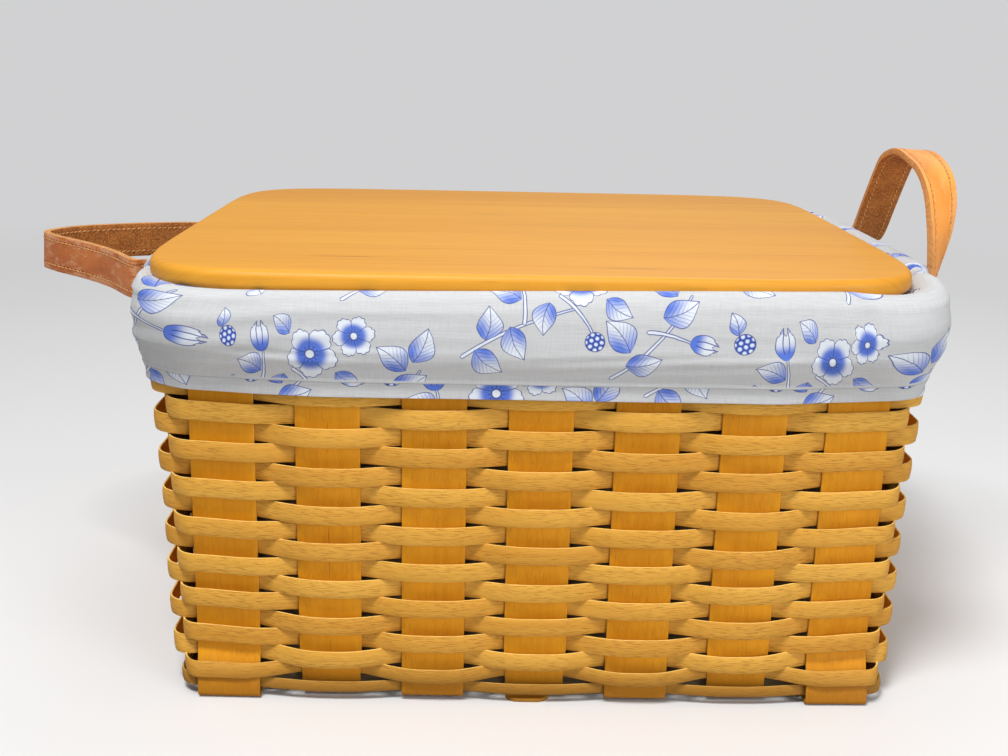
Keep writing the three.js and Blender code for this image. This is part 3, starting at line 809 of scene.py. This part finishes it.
def plant_print(x, y):
    """A half-drop repeat of two sprays, with each shape over those before it."""
    layers = [draw(x, y, *shape) for draw, *shape in PRINT]
    cover, wash, lines = layers[0]
    for over, its_wash, its_lines in layers[1:]:
        wash = wash * (1.0 - over) + its_wash * over
        lines = (lines * (1.0 - over)).most(its_lines)
        cover = cover.most(over)
    return cover, wash, lines


def cotton_finish(total, hem_start):
    """Cream cotton, printed in blue, from a UV map of the way round and the way down, in metres. A thin line below
    the hem's seam is painted shadow.
    """
    material, start = new_finish("printed cotton")
    around, down = start.place("UV")[:2]
    hem = down.maths("GREATER_THAN", down, hem_start)
    wide = total / PRINTS_ROUND
    column = (around + hem * 0.047) / wide
    count = column.floor()
    x = (column - count - 0.5) * wide
    rise = (down + hem * 0.021) / PRINT_DROP + count * 0.5
    y = (0.5 - (rise - rise.floor())) * PRINT_DROP
    wobble = start.noise(around * 160.0, down * 160.0, detail=1.0) * 0.0008 - 0.0004
    cover, wash, lines = plant_print(x + wobble, y + wobble)
    slub = start.noise(around * 60.0, down * 1500.0, detail=3.0)
    cross = start.noise(around * 1300.0, down * 90.0, 4.0, detail=3.0)
    cream = (slub * 0.6 + cross * 0.4).ramp(0.32, 0.68).mix(colour(203, 204, 205), colour(191, 192, 193))
    printed = 1.0 - abs(down - hem_start).ramp(0.0011, 0.0006)
    tint = wash.ramp(0.05, 0.95).mix(colour(222, 228, 236), colour(74, 112, 212))
    base = (cover * printed * 0.95).mix(cream, tint)
    base = (lines * printed * 0.85).mix(base, colour(44, 62, 138))
    # A thin dark line just below the hem's seam is painted shadow.
    base = (abs(down - hem_start - 0.0007).ramp(0.0006, 0.0002) * 0.3).mix(base, THREAD_AND_SHADOW_TONE)
    stitched = (down * (2 * math.pi / 0.0026)).sine().ramp(0.0, 0.5)
    seam = abs(around + 0.0325).ramp(0.0006, 0.0002) * stitched
    base = (seam * 0.35).mix(base, THREAD_AND_SHADOW_TONE)
    weave = (around * 6000.0).sine() * (down * 6000.0).sine()
    close_finish(start, base, 0.92, weave * 0.25 + slub * 0.8 + cross * 0.4 - seam, 0.00016)
    return material


def painted_shade_cotton_back():
    """The side of the cloth that faces the weave, plain and dark brown: painted shade for the cloth behind the
    weave.
    """
    material, start = new_finish("cotton back in painted shade")
    around, down = start.place("UV")[:2]
    slub = start.noise(around * 60.0, down * 1500.0, detail=3.0)
    # Dark brown as painted shade, where the cloth lies in shadow behind the weave.
    base = slub.ramp(0.3, 0.7).mix(colour(110, 92, 66), colour(84, 68, 46))
    close_finish(start, base, 0.95, slub, 0.0002)
    return material


def skirt_section():
    """The line of the cloth from the middle of the floor up the wall, over the rim and down to the hem. A row
    holds its stretch of the way, its share of that stretch and, on the lining, its offset and height."""
    rows = [("floor", step / FLOOR_STEPS, -0.0071, CLOTH_FLOOR) for step in range(FLOOR_STEPS)]
    low, top = CLOTH_FLOOR + 0.002, RIM_TOP - 0.0032
    for step in range(13):
        inwards = 0.0061 + 0.009 * math.sin(math.pi * step / 12) ** 0.5
        rows.append(("lining", step / 12, -inwards, low + (top - low) * step / 12))
    rows += [("lining", 1.0, -0.0053, RIM_TOP + 0.0001), ("lining", 1.0, -0.0031, RIM_TOP + 0.0008)]
    rows.append(("rise", 0.0, 0.0, 0.0))
    for stretch, steps in (("rise", 8), ("shoulder", 12), ("drop", 4), ("skirt", 26)):
        rows += [(stretch, step / steps, 0.0, 0.0) for step in range(1, steps + 1)]
    return rows


def fold_at(side, along, turn):
    """The offset and height of the fold's crest, and the extra bulge of the skirt beside a handle."""
    following = (side + 1) % 4
    offset, height = CREST_OFFSETS[side], CREST_HEIGHTS[side]
    if turn is not None:
        offset += (CREST_OFFSETS[following] - offset) * turn / (math.pi / 2)
        return offset, CREST_HEIGHTS[following] - (CORNER_DIP * math.sin(2 * turn) if side == 0 else 0.0), 0.0
    reach = side_reach(side)
    height += (CREST_HEIGHTS[following] - height) * eased((along + reach) / (2 * reach))
    beside = 1.0 - eased((abs(along) - BULGE_REACH) / 0.04)
    return offset, height, HANDLE_BULGE * beside if side % 2 == 1 else 0.0


def cloth_place(row, side, along, turn):
    """The offset, height and corner rounding of the cloth at a row of its section."""
    stretch, share, out, height = row
    if stretch in ("floor", "lining"):
        return out, height, LINING_ROUNDING
    crest, crest_height, bulge = fold_at(side, along, turn)
    crest += bulge * 0.3
    outside = SKIRT_OUTSIDE + bulge
    if stretch == "rise":
        first = max(crest - LIFT_START - bulge * 0.3, -0.001)
        cornered = 1.0 if turn is not None else eased((abs(along) - 0.15) / 0.04)
        first += (LYING_OFFSET - first) * cornered
        flat = 0.3 if first > LYING_OFFSET + 0.001 else 0.0
        if share < flat:
            out = LYING_OFFSET + (first - LYING_OFFSET) * share / flat
            return out, LYING_HEIGHT, LINING_ROUNDING
        share = (share - flat) / (1.0 - flat)
        climb = eased(share) + (1.0 - (1.0 - share) ** 2.2 - eased(share)) * cornered
        height = LYING_HEIGHT + (crest_height - LYING_HEIGHT) * climb
        return first + (crest - first) * share, height, LINING_ROUNDING
    if stretch == "shoulder":
        turned = share * math.pi / 2
        squareness = (0.72 if turn is not None else 0.9) - 0.3 * bulge / HANDLE_BULGE
        out = crest + (outside - crest) * math.sin(turned) ** squareness
        height = BAND_TOP + (crest_height - BAND_TOP) * max(math.cos(turned), 0.0) ** squareness
        return out, height, LINING_ROUNDING - (LINING_ROUNDING - BAND_ROUNDING) * share
    if stretch == "drop":
        return outside, BAND_TOP + (BAND_BOTTOM - BAND_TOP) * share, BAND_ROUNDING
    ease = eased(share)
    out = outside + (HEM_OUTSIDE - outside) * min(ease * 1.08, 1.0)
    return out, BAND_BOTTOM - SKIRT_LENGTH * share, BAND_ROUNDING - 0.0125 * ease


def folds(rise, run, total, edges, cornered):
    """How far the cloth stands out in lying folds above its hem, and in pleats near it."""
    outer, hem_start = edges
    upper = eased((rise - outer) / 0.012) * eased((hem_start - rise) / 0.02)
    near_hem = eased((rise - hem_start + 0.03) / 0.03)
    round_by = run * 2 * math.pi / total
    sway = 6.0 * math.sin(round_by + 1.0) + 2.2 * math.sin(round_by * 4)
    lying = math.sin(rise * 420.0 + sway) * (0.55 + 0.45 * math.sin(round_by * 3 + 2.0))
    lying += 0.6 * math.sin(rise * 810.0 - sway * 1.4 + 0.7) * math.sin(round_by * 4 + rise * 40.0)
    pleats = math.sin(round_by * 18 + 1.3 * math.sin(round_by * 5)) + 0.6 * math.sin(round_by * 42 + 2.0)
    ridge = 1.0 - min(abs(rise - hem_start) / 0.0013, 1.0)
    stood_out = upper * 0.0006 * lying + near_hem * pleats * (0.00025 + 0.0007 * cornered)
    return stood_out + 0.0009 * ridge + (0.0005 if rise > hem_start else 0.0)


def add_liner():
    section = skirt_section()
    stations, total = way_round(range(4), LINER_STEPS, LINER_CORNER_STEPS, LINER_CORNER)
    seam = 10
    before = [(side, along, turn, run - total) for side, along, turn, run in stations[-seam:]]
    stations = before + stations[:-seam]
    plain_side = [cloth_place(row, 0, 0.0, None) for row in section]
    rises = [0.0]
    for row, before, after in zip(section[1:], plain_side, plain_side[1:]):
        length = FLOOR_HALF / FLOOR_STEPS if row[0] == "floor" else math.dist(before[:2], after[:2])
        rises.append(rises[-1] + length)
    outer = rises[[row[0] for row in section].index("shoulder")]
    hem_start = rises[-1] - HEM_WIDTH
    inner = 0.135

    def spot(step, row):
        side, along, turn, run = stations[step % len(stations)]
        out, height, rounding = cloth_place(section[row], side, along, turn)
        if along is not None and abs(along) > inner:
            reach = side_reach(side)
            shrunk = inner + (abs(along) - inner) * (reach - rounding - inner) / (reach - inner)
            along = math.copysign(shrunk, along)
        cornered = 1.0 if turn is not None else eased((abs(along) - 0.12) / 0.08)
        out += folds(rises[row], run, total, (outer, hem_start), cornered)
        point = place_on_wall(side, along, turn, out, height, rounding)
        stretch, share = section[row][:2]
        if stretch == "floor":
            point.x *= share
            point.y *= share
        shown = run + (total if step == len(stations) else 0.0)
        return point, shown, rises[row]

    bm = bent_sheet(len(stations), len(section) - 1, spot, closed=True)
    bmesh.ops.remove_doubles(bm, verts=bm.verts, dist=0.00005)
    # The first finish, dark brown, is painted shade on the side of the cloth against the weave.
    finishes = [painted_shade_cotton_back(), cotton_finish(total, hem_start)]
    piece = finish_mesh("liner_cloth", bm, finishes, "basket")
    thicken(piece, CLOTH, back_slot=1, rounding=0.0002, even=False)
    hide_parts("liner")


add_liner()


# The lid is glued up from four maple boards, with a bullnose edge and wide round corners. Two cleats screwed on
# underneath keep it flat and drop inside the rim.
LID_LENGTH = 0.472
LID_DEPTH = 0.460
LID_THICKNESS = 0.0127
LID_ROUNDING = 0.0048
LID_SQUARENESS = 7.15  # 2 is an ellipse
LID_STEPS = 240
LID_SHIFT = -0.006
LID_BOTTOM = RIM_TOP + 0.0021
BOARD_NAMES = ("front", "front_middle", "back_middle", "back")
BOARD_JOINTS = (-0.130, 0.022, 0.115)
JOINT_GAP = 0.00005
LID_MARKS = ((-0.120, -0.168, 0.026), (0.052, -0.196, 0.030), (-0.030, 0.060, 0.018))


def lid_finish():
    """Glued boards: fine straight grain along X, with faint flecks and a few darker marks."""
    material, start = new_finish("lid maple")
    x, y, z = start.place("Object")
    board = sum(y.maths("GREATER_THAN", y, joint) for joint in BOARD_JOINTS)
    run = x + board * 0.83
    cut = y + z * 0.9 + board * 0.037
    bend = start.noise(run * 3.0, cut * 6.0, 2.0, detail=2.0) * 0.012
    fibre = start.noise(run * 40.0, cut * 1700.0, 1.0, detail=4.0, roughness=0.6)
    streak = start.noise(run * 5.0, (cut + bend) * 190.0, 5.0, detail=4.0)
    cloud = start.noise(run * 2.0, cut * 16.0, 9.0, detail=2.0)
    tone = ((board * 2.3 + 0.6).sine() + 1.0) * 0.09
    shade = fibre.ramp(0.3, 0.7) * 0.16 + streak.ramp(0.35, 0.7) * 0.26 + cloud.ramp(0.35, 0.65) * 0.2 + tone
    base = shade.mix(colour(229, 164, 50), colour(203, 132, 30))
    fleck = start.noise(run * 40.0, (cut + bend) * 500.0, 3.0, detail=1.0).ramp(0.66, 0.78)
    base = (fleck * 0.25).mix(base, colour(166, 100, 36))
    relief = fibre * 0.5 + streak * 0.3
    for mark_x, mark_y, length in LID_MARKS:
        near = abs(x - mark_x).ramp(length, length * 0.3) * abs(y + bend * 0.2 - mark_y).ramp(0.0016, 0.0003)
        base = (near * 0.6).mix(base, colour(134, 80, 30))
    for joint in BOARD_JOINTS:
        line = abs(y - joint).ramp(0.0006, 0.0001)
        base = (line * 0.22).mix(base, colour(160, 100, 40))
        relief = relief - line * 1.2
    close_finish(start, base, 0.42 + fibre * 0.1, relief, 0.00007, **{"Specular IOR Level": 0.3})
    return material


def lid_outline(corner):
    turn = math.atan2(corner.y, corner.x)
    power = 2.0 / LID_SQUARENESS
    x, y = [math.copysign(abs(part) ** power, part) for part in (math.cos(turn), math.sin(turn))]
    return x * LID_LENGTH / 2 + LID_SHIFT, y * LID_DEPTH / 2, LID_BOTTOM


def add_lid():
    """Each board is the whole lid, cut off at its joints."""
    face = lid_finish()
    joints = (None, *BOARD_JOINTS, None)
    for count, name in enumerate(BOARD_NAMES):
        bm = bmesh.new()
        bmesh.ops.create_circle(bm, cap_ends=True, cap_tris=False, segments=LID_STEPS, radius=1.0)
        for vertex in bm.verts:
            vertex.co = lid_outline(vertex.co)
        grown = bmesh.ops.extrude_face_region(bm, geom=bm.faces[:])
        raised = [item for item in grown["geom"] if isinstance(item, bmesh.types.BMVert)]
        bmesh.ops.translate(bm, vec=(0.0, 0.0, LID_THICKNESS), verts=raised)
        bmesh.ops.recalc_face_normals(bm, faces=bm.faces)
        round_edges(bm, level_edges(bm), LID_ROUNDING, 7)
        for joint, way in ((joints[count], -1), (joints[count + 1], 1)):
            if joint is None:
                continue
            whole = bm.verts[:] + bm.edges[:] + bm.faces[:]
            place = (0, joint - way * JOINT_GAP, 0)
            cut = bmesh.ops.bisect_plane(bm, geom=whole, plane_co=place, plane_no=(0, way, 0), clear_outer=True)
            open_edges = [item for item in cut["geom_cut"] if isinstance(item, bmesh.types.BMEdge)]
            bmesh.ops.holes_fill(bm, edges=open_edges, sides=0)
        for edge in bm.edges:
            edge.smooth = edge.calc_face_angle(0.0) < math.radians(EDGE_ANGLE)
        piece = finish_mesh(f"lid_board_{name}_wood", bm, [face], "lid")
        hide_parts(f"lid_board_{name}")
    dress(("lid_cleat_left", "lid_cleat_right"), face)


add_lid()


# Four brass screws hold the two cleats to the lid from below. Four brass rivets, one at each end of each
# strap, go through both rim bands.
def brass_finish():
    material, start = new_finish("brass")
    x, y, z = start.place("Object")
    wear = start.noise(x * 700.0, y * 700.0, z * 700.0, detail=4.0)
    base = wear.ramp(0.4, 0.7).mix(colour(212, 172, 96), colour(176, 134, 66))
    close_finish(start, base, 0.28 + wear * 0.2, wear, 0.00005, Metallic=1.0)
    return material


dress([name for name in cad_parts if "rivet" in name or "screw" in name], brass_finish())


# Each handle is two layers of leather stitched together along both edges. It is smooth outside and rough suede
# inside, comes out through the liner, and twists from lying flat to standing on edge.
STRAP_WIDTH = 0.0254
STRAP_THICKNESS = 0.0045
STRAP_STEPS = 230
STRAP_ROWS = 8
CURVE_STEPS = 12
HANDLE_SPREAD = 0.096
HINGE_HEIGHT = 0.241
HINGE_X = half_length(HINGE_HEIGHT) + 0.0355
BEND_REACH = 0.006
FIXED_BEHIND, FIXED_BELOW = 0.008, 0.002  # the hinge
RIM_FACE = 0.00545  # out from the wall's middle
RIM_PLAY = 0.0003
STITCH_SIZE = (0.0031, 0.0009, 0.0008)
STITCH_SLANT = 14.0
STITCH_INSET = 0.0040
STITCH_PITCH = 0.0043
STITCH_START = 0.012


def leather_finish(name, pale, dark, scuffing):
    """Smooth leather, scuffed towards its edges, with a groove under each row of stitches."""
    material, start = new_finish(name)
    along, across = start.place("UV")[:2]
    cloud = start.noise(along * 22.0, across * 60.0, 2.0, detail=4.0)
    pores = start.noise(along * 1500.0, across * 1500.0, 4.0, detail=3.0)
    base = (cloud.ramp(0.3, 0.7) * 0.8 + pores * 0.2).mix(pale, dark)
    worn = start.noise(along * 60.0, across * 150.0, 7.0, detail=5.0, roughness=0.7)
    scuff = (worn + abs(across).ramp(0.004, 0.0125) * 0.10).ramp(0.50, 0.66)
    base = (scuff * scuffing).mix(base, colour(232, 190, 150))
    groove = abs(abs(across) - (STRAP_WIDTH / 2 - STITCH_INSET)).ramp(0.0011, 0.0004)
    base = (groove * 0.35).mix(base, dark)
    relief = pores * 0.4 + cloud * 0.4 - groove * 2.0
    close_finish(start, base, 0.46 + scuff * 0.25, relief, 0.0003, **{"Coat Weight": 0.1, "Coat Roughness": 0.4})
    return material


def suede_finish(name, pale, dark):
    """The rough flesh side of the leather, its cut edge, or the thread."""
    material, start = new_finish(name)
    x, y, z = start.place("Object")
    nap = start.noise(x * 620.0, y * 620.0, z * 620.0, detail=5.0, roughness=0.7)
    cloud = start.noise(x * 80.0, y * 80.0, z * 80.0, detail=3.0)
    base = (nap.ramp(0.35, 0.65) * 0.7 + cloud.ramp(0.3, 0.7) * 0.3).mix(pale, dark)
    close_finish(start, base, 0.95, nap + cloud * 0.6, 0.0008)
    return material


def smooth_line(points, steps):
    """A Catmull-Rom curve through the points, with steps spans between each two."""
    whole = [points[0] * 2 - points[1]] + points + [points[-1] * 2 - points[-2]]
    line = []
    for first, start, end, last in zip(whole, whole[1:], whole[2:], whole[3:]):
        for step in range(steps):
            t = step / steps
            a = -0.5 * t + t * t - 0.5 * t ** 3
            b = 1.0 - 2.5 * t * t + 1.5 * t ** 3
            c = 0.5 * t + 2.0 * t * t - 1.5 * t ** 3
            d = -0.5 * t * t + 0.5 * t ** 3
            line.append(first * a + start * b + end * c + last * d)
    return line + [points[-1]]


def evenly(line, count):
    """Points at even distances along a line."""
    runs = distances(line)
    spots = []
    spot = 0
    for step in range(count + 1):
        run = runs[-1] * step / count
        while spot < len(runs) - 2 and runs[spot + 1] < run:
            spot += 1
        share = (run - runs[spot]) / max(runs[spot + 1] - runs[spot], 1e-9)
        spots.append(line[spot].lerp(line[spot + 1], min(share, 1.0)))
    return spots


def strap_path(end, reach, lean, legs, crown):
    """Places along a strap, each with the direction of its width, from one rivet over the loop to the other.
    A leg is its places as shares of reach and spread, and where its twist starts and ends, from the hinge."""
    turn = math.radians(lean)
    sideways = Vector((0.0, end, 0.0))
    upwards = Vector((end * math.sin(turn), 0.0, math.cos(turn)))
    outwards = Vector((end * math.cos(turn), 0.0, -math.sin(turn)))
    hinge = Vector((end * HINGE_X, 0.0, HINGE_HEIGHT))
    seat = RIM_FACE + RIM_PLAY + STRAP_THICKNESS / 2
    wall = half_length(HINGE_HEIGHT) + seat
    tail = [(half_length(HINGE_HEIGHT - drop) + seat, HINGE_HEIGHT - drop) for drop in (0.013, 0.0075)]
    for out, drop in ((0.0012, 0.0028), (0.0045, 0.0004), (0.0110, 0.0)):
        tail.append((wall + out, HINGE_HEIGHT - drop))

    def way(side, places):
        corner = hinge + sideways * (side * HANDLE_SPREAD)
        before = corner - Vector((end * BEND_REACH, 0.0, 0.0))
        after = corner + upwards * BEND_REACH
        points = [Vector((end * x, corner.y, height)) for x, height in tail]
        points += [before, (before + corner * 2 + after) / 4, after]
        for out, along in places:
            points.append(hinge + upwards * (out * reach) + sideways * (side * along * HANDLE_SPREAD))
        return points

    first_leg = way(-1, legs[0]["places"])
    points = first_leg + [hinge + upwards * reach + sideways * (crown * HANDLE_SPREAD)]
    points += way(1, legs[1]["places"])[::-1]
    line = smooth_line(points, CURVE_STEPS)
    runs = distances(line)
    bend = (len(tail) + 1) * CURVE_STEPS
    top_run = runs[len(first_leg) * CURVE_STEPS]
    spots = evenly(line, STRAP_STEPS)
    rows = []
    for step, spot in enumerate(spots):
        before, after = spots[max(step - 1, 0)], spots[min(step + 1, STRAP_STEPS)]
        run = runs[-1] * step / STRAP_STEPS
        first = run < top_run
        away = (after - before).normalized() * (1 if first else -1)
        past = run - runs[bend] if first else runs[-1 - bend] - run
        start, stop = legs[0 if first else 1]["twist"]
        angle = eased((past - start) / (stop - start)) * math.pi / 2
        flat = (sideways - away * sideways.dot(away)).normalized()
        normal = flat.cross(away)
        if abs(outwards.dot(away)) < 0.5:
            normal = (outwards - away * outwards.dot(away)).normalized()
        rows.append((spot, (flat * math.cos(angle) + normal * math.sin(angle)).normalized()))
    return rows


def stitch_mesh():
    bm = bmesh.new()
    bmesh.ops.create_cube(bm, size=1.0)
    round_edges(bm, bm.edges[:], 0.2, 1)
    bmesh.ops.scale(bm, vec=STITCH_SIZE, verts=bm.verts)
    bmesh.ops.rotate(bm, matrix=Matrix.Rotation(math.radians(STITCH_SLANT), 3, "Z"), verts=bm.verts)
    bead = bpy.data.meshes.new("stitch")
    bm.to_mesh(bead)
    bm.free()
    return bead


def add_stitches(name, rows, runs):
    """Slanted stitches along both edges of both faces, as short beads of thread."""
    bead = stitch_mesh()
    bm = bmesh.new()
    step = 0
    for count in range(int((runs[-1] - 2 * STITCH_START) / STITCH_PITCH)):
        run = STITCH_START + count * STITCH_PITCH
        while runs[step + 1] < run:
            step += 1
        share = (run - runs[step]) / (runs[step + 1] - runs[step])
        middle = rows[step][0].lerp(rows[step + 1][0], share)
        across = rows[step][1].lerp(rows[step + 1][1], share).normalized()
        heading = (rows[step + 1][0] - rows[step][0]).normalized()
        upward = heading.cross(across).normalized()
        across = upward.cross(heading)
        turned = Matrix((heading, across, upward)).transposed().to_4x4()
        for edge in (-1, 1):
            for face in (-1, 1):
                spot = middle + across * edge * (STRAP_WIDTH / 2 - STITCH_INSET)
                spot = spot + upward * face * (STRAP_THICKNESS / 2 - 0.00005)
                first = len(bm.verts)
                bm.from_mesh(bead)
                bm.verts.ensure_lookup_table()
                bmesh.ops.transform(bm, matrix=Matrix.Translation(spot) @ turned, verts=bm.verts[first:])
    bpy.data.meshes.remove(bead)
    return finish_mesh(f"{name}_stitches", bm, [thread])


def add_handle(name, end, reach, lean, legs, crown, bend, outside):
    """A strap and its stitches, which stay where they are made. Bend gives a place out and up from the hinge,
    which the code works out but does not use."""
    rows = strap_path(end, reach, lean, legs, crown)
    runs = distances([middle for middle, across in rows])

    def spot(step, row):
        middle, across = rows[step]
        shift = (row / STRAP_ROWS - 0.5) * STRAP_WIDTH
        return middle + across * shift, runs[step] + (3.0 if end > 0 else 0.0), shift

    bm = bent_sheet(STRAP_STEPS, STRAP_ROWS, spot)
    strap = finish_mesh(f"{name}_strap", bm, [suede, outside, cut_leather])
    thicken(strap, STRAP_THICKNESS, edge_slot=2, back_slot=1, rounding=0.0009, even=False)
    stitches = add_stitches(name, rows, runs)
    start = (end * (HINGE_X - FIXED_BEHIND), 0.0, HINGE_HEIGHT - FIXED_BELOW)
    stop = (end * (HINGE_X + bend[0]), 0.0, HINGE_HEIGHT + bend[1])
    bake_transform(strap)
    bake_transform(stitches)
    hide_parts(f"{name}_strap_loop", f"{name}_strap_end_front", f"{name}_strap_end_back")


suede = suede_finish("suede", colour(206, 130, 60), colour(140, 78, 28))
cut_leather = suede_finish("cut leather edge", colour(224, 168, 104), colour(190, 124, 62))
thread = suede_finish("thread", colour(232, 176, 112), colour(196, 132, 72))
add_handle(
    "left_handle", -1, 0.0905, 87.0,
    [
        {"places": [(0.38, 0.80), (0.62, 0.60), (0.88, 0.32)], "twist": (-0.020, 0.003)},
        {"places": [(0.30, 0.68), (0.57, 0.42), (0.86, 0.20)], "twist": (-0.018, 0.003)},
    ],
    0.0, (0.012, 0.002),
    leather_finish("worn leather", colour(206, 118, 52), colour(168, 86, 34), 0.35),
)
add_handle(
    "right_handle", 1, 0.0865, 3.0,
    [
        {
            "places": [(0.30, 1.03), (0.50, 1.02), (0.72, 0.94), (0.89, 0.74), (0.98, 0.42)],
            "twist": (-0.045, 0.122),
        },
        {"places": [(0.22, 0.74), (0.51, 0.52), (0.76, 0.33), (0.92, 0.17)], "twist": (-0.024, 0.030)},
    ],
    -0.13, (0.004, 0.012),
    leather_finish("smooth leather", colour(255, 172, 76), colour(236, 140, 50), 0.15),
)
